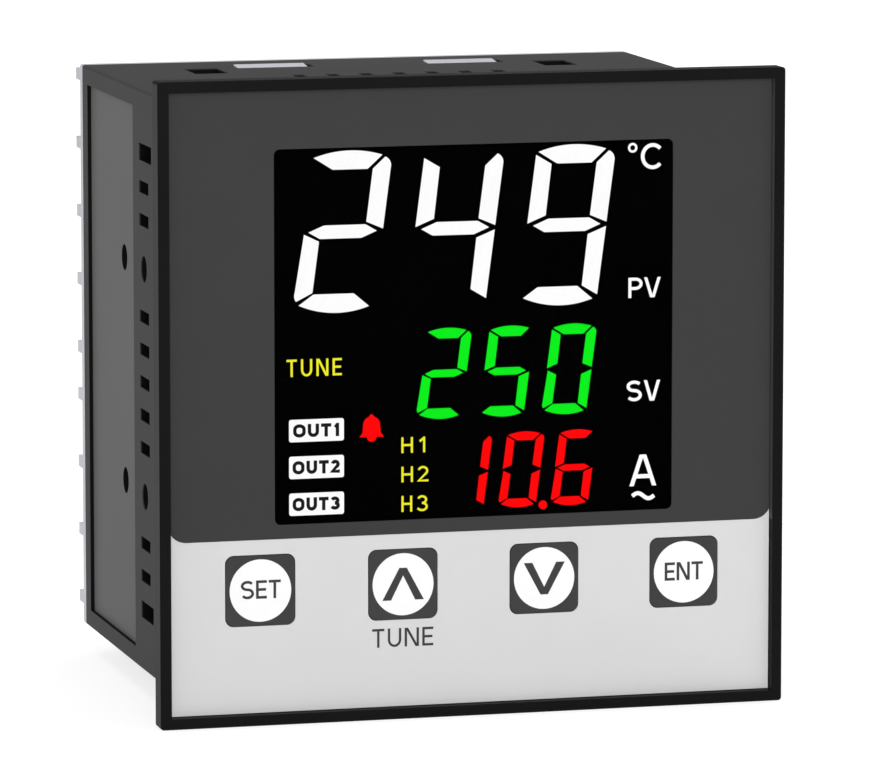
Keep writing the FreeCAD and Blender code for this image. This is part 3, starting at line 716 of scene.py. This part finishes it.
def capped(path, half):
    """Lengthen a path's level and upright ends by half the pen."""
    longer = list(path)
    for end, inner in ((0, 1), (-1, -2)):
        way = Vector(path[end]) - Vector(path[inner])
        if min(abs(way.x), abs(way.y)) < LEVEL * way.length:
            longer[end] = tuple(Vector(path[end]) + way.normalized() * half)
    return longer


def write_letter(sheet, letter, corner, wide, high, pen):
    """Draw one letter with its lower left corner at a place, in metres."""
    half = pen / 2

    def spot(x, y):
        return (corner[0] + half + x * (wide - pen), corner[1] + half + y * (high - pen))

    size, strokes, legs = ALPHABET[letter]
    for path in strokes:
        ring = letter in RINGS
        spots = [spot(*point) for point in path]
        spots = spots[:-1] if ring else capped(spots, half)
        sheet.strip(pen_rows(spots, half, ring), ring)
    for x_start, y_start, x_end, y_end in legs:
        rise = (y_end - y_start) * high
        run = (x_end - x_start) * (wide - pen)
        level = half * math.hypot(rise, run) / abs(rise)
        rows = []
        for x, y in ((x_start, y_start), (x_end, y_end)):
            middle_x = spot(x, y)[0]
            z = corner[1] + y * high
            rows.append(((middle_x - level, z), (middle_x + level, z)))
        sheet.strip(rows)


def write(sheet, text, box, pen, gap=LETTER_GAP):
    """Draw a word in a box of a width, a height and a middle, all in millimetres."""
    wide, high, x_mid, z_mid = (value * MM for value in box)
    sizes = [ALPHABET[letter][0] for letter in text]
    stretch = wide / (sum(sizes) + gap * (len(text) - 1))
    x = x_mid - wide / 2
    near = sheet.near
    for letter, size in zip(text, sizes):
        write_letter(sheet, letter, (x, z_mid - high / 2), size * stretch, high, pen * MM)
        x += (size + gap) * stretch
        sheet.near = near


def legend(name, text, box, pen, front, ink, body="case", slot="dark_print", gap=LETTER_GAP):
    """Word as a piece of its own; `pen` is the stroke width in millimetres."""
    sheet = Print(front)
    write(sheet, text, box, pen, gap)
    return sheet.piece(name, ink, body, slot)


print("the alphabet has", len(ALPHABET), "signs")

# %% [markdown]
# ## Words on and under the keys
# The two outer keys carry a word each, and the third word is printed on the film under the
# key that starts tuning. Each word is placed from the middle of its own key, so it stays
# right if the keys are moved in the CAD model.

# %% Key words
KEY_Z = middle("set_key_cap").z / MM
KEY_X = {key: middle(key + "_key_cap").x / MM for key in KEYS}
KEY_PEN = 0.4
KEY_LETTER_GAP = 0.1
FILM_PEN = 0.36
set_box = (6.07, 2.75, KEY_X["set"] + 0.05, KEY_Z + 0.16)
enter_box = (5.97, 2.75, KEY_X["enter"], KEY_Z + 0.13)
tune_box = (9.4, 2.82, KEY_X["up"] - 0.03, KEY_Z - 8.02)
for key, text, box in (("set", "SET", set_box), ("enter", "ENT", enter_box)):
    legend(key + "_word", text, box, KEY_PEN, DISC_FRONT, "ink_dark", key + "_key", "key_plastic",
           KEY_LETTER_GAP)
legend("tune_word", "TUNE", tune_box, FILM_PEN, FILM_FRONT, "ink_dark")
print("words on the keys and under them")

# %% [markdown]
# ## Arrows on the keys
# The two middle keys carry an open arrow each. It is two legs that meet at the tip, cut off
# level, so it comes from the same strip as the letters, with its corners worked out from
# the arrow's height, half width and stroke.

# %% Up and down arrows
ARROW_HIGH = 4.85
ARROW_HALF = 3.18
ARROW_TIP = 0.57
ARROW_STROKE = 1.32
ARROW_INNER = 1.13


def arrow(key, sense):
    """Open arrow on a key, pointing up for a sense of 1 and down for -1."""
    x_mid = KEY_X[key]
    z_mid = KEY_Z + 0.05 * sense
    half = ARROW_HIGH / 2
    outer = [(-ARROW_HALF, -half), (-ARROW_TIP, half), (ARROW_TIP, half), (ARROW_HALF, -half)]
    foot = ARROW_HALF - ARROW_STROKE
    inner = [(-foot, -half), (0, half - ARROW_INNER), (0, half - ARROW_INNER), (foot, -half)]
    rows = []
    for edge, core in zip(outer, inner):
        rows.append([((x_mid + x) * MM, (z_mid + sense * z) * MM) for x, z in (edge, core)])
    sheet = Print(DISC_FRONT)
    sheet.strip(rows)
    bmesh.ops.remove_doubles(sheet.shape, verts=sheet.shape.verts, dist=0.001 * MM)
    sheet.piece(key + "_arrow", "ink_dark", key + "_key", "key_plastic")


arrow("up", 1)
arrow("down", -1)
print("arrows are", ARROW_HIGH, "mm high")

# %% [markdown]
# ## Words on the display
# The display lights short words beside its figures: which output is on, which alarm is set
# and what each row shows. They are the same thin strokes, in the plane of the lit segments.
# The words on the three flags are dark and stand just in front of them, and their places
# are counted down from the top flag.

# %% Display words
# name, word, (width, height, middle in X, middle in Z), pen, gap between letters, finish
DISPLAY_WORDS = [
    ("tuning", "TUNE", (8.4, 2.57, -24.17, 5.07), 0.33, 0.25, "lit_yellow"),
    ("alarm_1", "H1", (3.65, 2.35, -9.05, -7.04), 0.32, 0.30, "lit_yellow"),
    ("alarm_2", "H2", (4.14, 2.35, -8.8, -11.44), 0.32, 0.24, "lit_yellow"),
    ("alarm_3", "H3", (4.04, 2.4, -8.85, -15.86), 0.32, 0.28, "lit_yellow"),
    ("row_1", "PV", (5.0, 3.03, 26.65, 15.35), 0.45, 0.07, "lit_white"),
    ("row_2", "SV", (5.22, 3.12, 26.53, -0.2), 0.47, 0.09, "lit_white"),
    ("unit_c", "C", (3.56, 3.9, 27.78, 35.02), 0.55, LETTER_GAP, "lit_white"),
    ("unit_a", "A", (4.15, 4.74, 26.52, -12.24), 0.62, LETTER_GAP, "lit_white"),
]
for name, text, box, pen, gap, ink in DISPLAY_WORDS:
    legend(name, text, box, pen, LIT_FRONT, ink, "case", "white_light", gap)

FLAG_LOW, FLAG_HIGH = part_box("output_flags")
FLAG_WORDS = [("OUT1", 7.0), ("OUT2", 7.2), ("OUT3", 7.2)]    # each word and its width
FLAG_TALL = 3.35
FLAG_LETTER = 1.98         # height of the letters on a flag
FLAG_SHIFT = -0.06         # the words stand a little left of the flags' middle
FLAG_PEN = 0.52
FLAG_LETTER_GAP = 0.12
flag_pitch = ((FLAG_HIGH.z - FLAG_LOW.z) / MM - FLAG_TALL) / (len(FLAG_WORDS) - 1)
flag_x = middle("output_flags").x / MM + FLAG_SHIFT
top_flag_z = FLAG_HIGH.z / MM - FLAG_TALL / 2
for row, (text, wide) in enumerate(FLAG_WORDS):
    box = (wide, FLAG_LETTER, flag_x, top_flag_z - row * flag_pitch)
    legend(f"output_{row + 1}", text, box, FLAG_PEN, LIT_FRONT, "ink_black", gap=FLAG_LETTER_GAP)
print(len(DISPLAY_WORDS) + len(FLAG_WORDS), "display words")

# %% [markdown]
# ## The unit's small marks
# A wave for alternating current stands under the ampere sign, and a small ring stands before
# the C for degrees. Both are one stroke of the same pen: the wave's path is a sine curve,
# and the ring's path is a circle that closes on itself.

# %% Wave and degree ring
WAVE = (24.87, 28.27, -16.11, 0.42)    # its two ends, its height on the display and its rise
WAVE_HALF = 0.3                        # half the width of the wave's stroke
WAVE_STEPS = 24
DEGREE = (24.72, 36.35, 0.56)          # middle and radius of the ring
DEGREE_HALF = 0.17


def unit_marks():
    start, end, z_mid, rise = WAVE
    path = []
    for step in range(WAVE_STEPS + 1):
        share = step / WAVE_STEPS
        x = start + (end - start) * share
        path.append((x * MM, (z_mid + rise * math.sin(share * math.tau)) * MM))
    wave = Print(LIT_FRONT)
    wave.strip(pen_rows(path, WAVE_HALF * MM))
    wave.piece("unit_wave", "lit_white", "case", "white_light")
    x_mid, z_mid, radius = (value * MM for value in DEGREE)
    ring = Print(LIT_FRONT)
    ring.strip(pen_rows(bow((x_mid, z_mid), (radius, radius), 0, 350, 35), DEGREE_HALF * MM, True), True)
    ring.piece("degree_ring", "lit_white", "case", "white_light")


unit_marks()
print("unit marks made")

# %% [markdown]
# ## Terminal screws by Geometry Nodes
# Fourteen screws hold the wires. They are all alike, so one is built inside a Geometry Nodes
# tree and placed on points. The points come from the CAD model's own screws: each separate
# shape in that solid gives one. The tree's sizes are named inputs, and it ends by making
# the instances real, because an exported model can't hold instances.

# %% Where the screws stand


def islands(node):
    """Low and high corner of each separate shape in a solid, by side and from the top down."""
    work = bmesh.new()
    work.from_mesh(nodes[node].data)
    bmesh.ops.remove_doubles(work, verts=work.verts, dist=WELD)
    unseen = set(work.verts)
    places = []
    while unseen:
        front = [unseen.pop()]
        group = list(front)
        while front:
            vertex = front.pop()
            for edge in vertex.link_edges:
                other = edge.other_vert(vertex)
                if other in unseen:
                    unseen.remove(other)
                    front.append(other)
                    group.append(other)
        low = Vector([min(v.co[i] for v in group) for i in range(3)])
        high = Vector([max(v.co[i] for v in group) for i in range(3)])
        places.append((low, high))
    work.free()
    return sorted(places, key=lambda pair: (round(pair[0].x, 4), -round(pair[0].z, 4)))


SCREW_BOXES = islands("terminal_screws")
CLAMP_BOXES = islands("terminal_clamps")
print(len(SCREW_BOXES), "screws and", len(CLAMP_BOXES), "clamps")

# %% [markdown]
# A Geometry Nodes tree is built the same way as a material, so its class takes over the one
# that adds nodes. It makes an input for each size that it is given, and has short methods
# for the few steps that every pattern needs: a box, a move, a join and a copy on each point.

# %% A tree with named inputs


class Pattern(Graph):
    """Geometry Nodes tree with named number inputs and one geometry in and out."""

    def __init__(self, name, sizes):
        tree = bpy.data.node_groups.new(name, "GeometryNodeTree")
        super().__init__(tree)
        face = tree.interface
        face.new_socket("Geometry", in_out="INPUT", socket_type="NodeSocketGeometry")
        face.new_socket("Geometry", in_out="OUTPUT", socket_type="NodeSocketGeometry")
        self.sizes = sizes
        self.names = {}
        for label in sizes:
            item = face.new_socket(label, in_out="INPUT", socket_type="NodeSocketFloat")
            self.names[label] = item.identifier
        self.start = tree.nodes.new("NodeGroupInput")
        self.end = tree.nodes.new("NodeGroupOutput")

    def size(self, label):
        return Wire(self, self.start.outputs[label])

    def vector(self, x, y, z):
        return self.add("ShaderNodeCombineXYZ", {}, [x, y, z])

    def box(self, x, y, z, at):
        """Box of a given size, moved to a place."""
        cube = self.add("GeometryNodeMeshCube", {}, {"Size": self.vector(x, y, z)}, "Mesh")
        return self.move(cube, at)

    def move(self, geometry, at=(0, 0, 0), turn=(0, 0, 0)):
        inputs = {"Geometry": geometry, "Translation": at, "Rotation": turn}
        return self.add("GeometryNodeTransform", {}, inputs)

    def join(self, *parts):
        node = self.tree.nodes.new("GeometryNodeJoinGeometry")
        for part in parts:
            self.tree.links.new(part.socket, node.inputs[0])
        return Wire(self, node.outputs[0])

    def on_points(self, shape):
        """Put a shape on the points of the object that carries the modifier."""
        points = Wire(self, self.start.outputs["Geometry"])
        inputs = {"Points": points, "Instance": shape}
        return self.add("GeometryNodeInstanceOnPoints", {}, inputs)

    def end_with(self, geometry, material):
        real = self.add("GeometryNodeRealizeInstances", {}, {"Geometry": geometry})
        done = self.add("GeometryNodeSetMaterial", {}, {"Geometry": real, "Material": material})
        self.put(self.end.inputs["Geometry"], done)

    def run(self, name, points):
        """Run the tree on a cloud of points and give back a plain mesh."""
        mesh = bpy.data.meshes.new(name)
        mesh.from_pydata(points, [], [])
        carrier = bpy.data.objects.new(name, mesh)
        bpy.context.scene.collection.objects.link(carrier)
        modifier = carrier.modifiers.new(name, "NODES")
        modifier.node_group = self.tree
        for label, value in self.sizes.items():
            modifier[self.names[label]] = value
        made = baked(carrier)
        print(name, len(points), "places,", len(made.polygons), "faces")
        return made


print("patterns can be built")

# %% [markdown]
# A pan head is a short cylinder under a shallow cone, with a cross cut into it by a Boolean.
# Building the cutter larger than the depth it removes keeps its top clear of the head, so
# that no thin skin is left across the slot.

# %% Screw pattern
UNIT_CIRCLE = 40           # corners in a full circle
RIM_SHARE = 0.6            # share of the head's height that is upright
DOME_TOP = 0.74            # radius of the dome's flat top, as a share of the head's


def rod_shape(tree, radius, top_radius, length, y_base):
    """Cylinder or cone along Y that starts at y_base."""
    inputs = {"Vertices": UNIT_CIRCLE, "Radius Top": top_radius, "Radius Bottom": radius,
              "Depth": length}
    cone = tree.add("GeometryNodeMeshCone", {}, inputs, "Mesh")
    return tree.move(cone, tree.vector(0, y_base, 0), (-math.pi / 2, 0, 0))


def cut(tree, body, *tools):
    node = tree.tree.nodes.new("GeometryNodeMeshBoolean")
    node.operation = "DIFFERENCE"
    tree.put(node.inputs[0], body)
    for tool in tools:
        tree.tree.links.new(tool.socket, node.inputs[1])
    return Wire(tree, node.outputs[0])


def screw_pattern(name, sizes):
    """Cross-head screw whose seat is on the point and whose head stands towards +Y."""
    tree = Pattern(name, sizes)
    head = tree.size("Head radius")
    high = tree.size("Head height")
    rim = rod_shape(tree, head, head, high * RIM_SHARE, 0.0)
    dome = rod_shape(tree, head, head * DOME_TOP, high * (1 - RIM_SHARE), high * RIM_SHARE)
    shank = tree.size("Shank radius")
    long = tree.size("Shank length")
    stem = rod_shape(tree, shank, shank, long, 0 - long)
    deep = tree.size("Slot depth")
    wide = tree.size("Slot width")
    reach = tree.size("Slot length")
    at = tree.vector(0, high, 0)
    across = tree.box(reach, deep * 2, wide, at)
    upright = tree.box(wide, deep * 2, reach, at)
    slotted = cut(tree, dome, across, upright)
    tree.end_with(tree.on_points(tree.join(slotted, rim, stem)), finishes["zinc"])
    return tree


first_low, first_high = SCREW_BOXES[0]
seat_y = CLAMP_BOXES[0][1].y
screw_sizes = {
    "Head radius": (first_high.x - first_low.x) / 2, "Head height": first_high.y - seat_y,
    "Slot width": 0.85 * MM, "Slot length": 4.4 * MM, "Slot depth": 0.7 * MM,
    "Shank radius": 1.7 * MM, "Shank length": seat_y - first_low.y,
}
screw_tree = screw_pattern("terminal_screw", screw_sizes)
seats = [((low.x + high.x) / 2, seat_y, (low.z + high.z) / 2) for low, high in SCREW_BOXES]
finished_piece("cross_head_screws", screw_tree.run("cross_head_screws", seats), "case",
               "steel_screws", "terminal_screws")
print("screws stand at y", round(seat_y / MM, 2), "mm")

# %% [markdown]
# ## Numbers beside the terminals
# Every wire has a place, so the terminals are numbered on the back. The same strokes do it,
# on a sheet that faces the other way: seen from behind, left and right change places, and
# a sheet with a sense of -1 turns each stroke round for that.

# %% Terminal numbers
NUMBER_HIGH = 2.3
NUMBER_X = 26.3
NUMBER_PEN = 0.36
BARRIER_RISE = 3.1         # the barriers stand this far behind the cover's face


def terminal_numbers():
    sheet = Print(COVER_REAR - BARRIER_RISE * MM, -1)
    for number, (low, high) in enumerate(CLAMP_BOXES, 1):
        text = str(number)
        natural = sum(ALPHABET[figure][0] for figure in text) + LETTER_GAP * (len(text) - 1)
        side = 1 if low.x < 0 else -1
        box = (natural * NUMBER_HIGH, NUMBER_HIGH, side * NUMBER_X, (low.z + high.z) / 2 / MM)
        write(sheet, text, box, NUMBER_PEN)
    sheet.piece("terminal_numbers", "ink_dark", "case", "dark_print")


terminal_numbers()
print("numbers 1 to", len(CLAMP_BOXES))

# %% [markdown]
# ## The studio
# The object stands on a pale floor in plain soft light. The background is made white by the
# floor and the world themselves, only for the rays that the camera or a reflection sends
# out, and never by more light on the object.

# %% Floor and world
FLOOR_SIDE = 6.0
FLOOR_GAP = 0.02 * MM      # keeps the floor clear of the frame's lower edge
FLOOR_LIGHT = (0.78, 0.82)  # how pale the floor is for the light that it throws back
FLOOR_SEEN = 0.40          # how pale it is for the camera, and what it adds to that
FLOOR_GLOW = 0.74
SKY_LIGHT = 0.30           # strength of the world as a light
SKY_SEEN = 1.0             # and as a background


def studio_floor():
    bpy.ops.mesh.primitive_plane_add(size=FLOOR_SIDE, location=(0, 0, FRAME_LOW.z - FLOOR_GAP))
    floor = bpy.context.object
    floor.name = "floor"
    finish = Finish("floor_pale", Specular_IOR_Level=0.0, Roughness=1.0, Emission_Strength=1.0)
    ray = {kind: finish.add("ShaderNodeLightPath", out=kind)
           for kind in ("Is Camera Ray", "Is Glossy Ray", "Is Transmission Ray")}
    seen = ray["Is Camera Ray"] + ray["Is Glossy Ray"] + ray["Is Transmission Ray"]
    shown = finish.step(seen, 0.0, 1.0)
    finish.link("Emission Color", finish.mix(shown, grey(0), grey(FLOOR_GLOW)))
    fibre = finish.noise(8 * MM, 2.0)
    pale = finish.mix(fibre, *(grey(level) for level in FLOOR_LIGHT))
    finish.link("Base Color", finish.mix(shown, pale, grey(FLOOR_SEEN)))
    floor.data.materials.append(finish.material)


def studio_world():
    world = bpy.data.worlds.new("studio")
    bpy.context.scene.world = world
    world.use_nodes = True
    sky = Graph(world.node_tree)
    sky.tree.nodes.clear()
    kinds = ("Is Camera Ray", "Is Transmission Ray")
    rays = [sky.add("ShaderNodeLightPath", out=kind) for kind in kinds]
    ramp = {"Value": rays[0] + rays[1], "To Min": SKY_LIGHT, "To Max": SKY_SEEN}
    strength = sky.add("ShaderNodeMapRange", {"clamp": True}, ramp)
    glow = sky.add("ShaderNodeBackground", {}, {"Color": grey(1), "Strength": strength})
    output = sky.tree.nodes.new("ShaderNodeOutputWorld")
    sky.put(output.inputs["Surface"], glow)


studio_floor()
studio_world()
print("floor at", round(FRAME_LOW.z / MM, 2), "mm")

# %% [markdown]
# ## Lamps
# Four large soft lamps light the object from all round. The front one is far away and nearly
# straight ahead, so that the rim throws no shadow on the film, and the one behind stands to
# the right. A large lamp gives soft edges to every shadow, as a light tent does.

# %% Soft lamps


def soft_lamp(name, place, side, power):
    lamp = bpy.data.lights.new(name, "AREA")
    lamp.shape = "SQUARE"
    lamp.size = side
    lamp.energy = power
    light = bpy.data.objects.new(name, lamp)
    light.location = place
    aim = Vector((0, 0, 0)) - Vector(place)
    light.rotation_euler = aim.to_track_quat("-Z", "Y").to_euler()
    bpy.context.scene.collection.objects.link(light)


soft_lamp("front_lamp", (-0.5, -4.4, 0.9), 2.2, 122.0)
soft_lamp("side_lamp", (-2.0, 0.2, 1.0), 1.6, 16.0)
soft_lamp("back_lamp", (2.2, 2.2, 0.9), 1.6, 80.0)
soft_lamp("top_lamp", (0.0, 0.3, 3.0), 2.0, 28.0)
print("four lamps")

# %% [markdown]
# ## Camera
# The view is from a little to the left and above, with a long lens, so that the front stays
# almost square. Its place and angles are in the same frame as the solids.

# %% Camera
CAMERA_PLACE = Vector((-263.76, -971.97, 142.04)) * MM
CAMERA_DOWN = math.radians(7.995)
CAMERA_TURN = math.radians(-14.896)
CAMERA_LENS = 282.7
CAMERA_SENSOR = 36.0
CAMERA_NEAR = 0.01

camera_data = bpy.data.cameras.new("camera")
camera_data.lens = CAMERA_LENS
camera_data.sensor_width = CAMERA_SENSOR
camera_data.clip_start = CAMERA_NEAR
camera = bpy.data.objects.new("camera", camera_data)
camera.location = CAMERA_PLACE
camera.rotation_euler = (math.pi / 2 - CAMERA_DOWN, 0, CAMERA_TURN)
bpy.context.scene.collection.objects.link(camera)
bpy.context.scene.camera = camera
bpy.context.scene.view_settings.view_transform = "Standard"
print("camera is", round(CAMERA_PLACE.length, 3), "m from the origin")
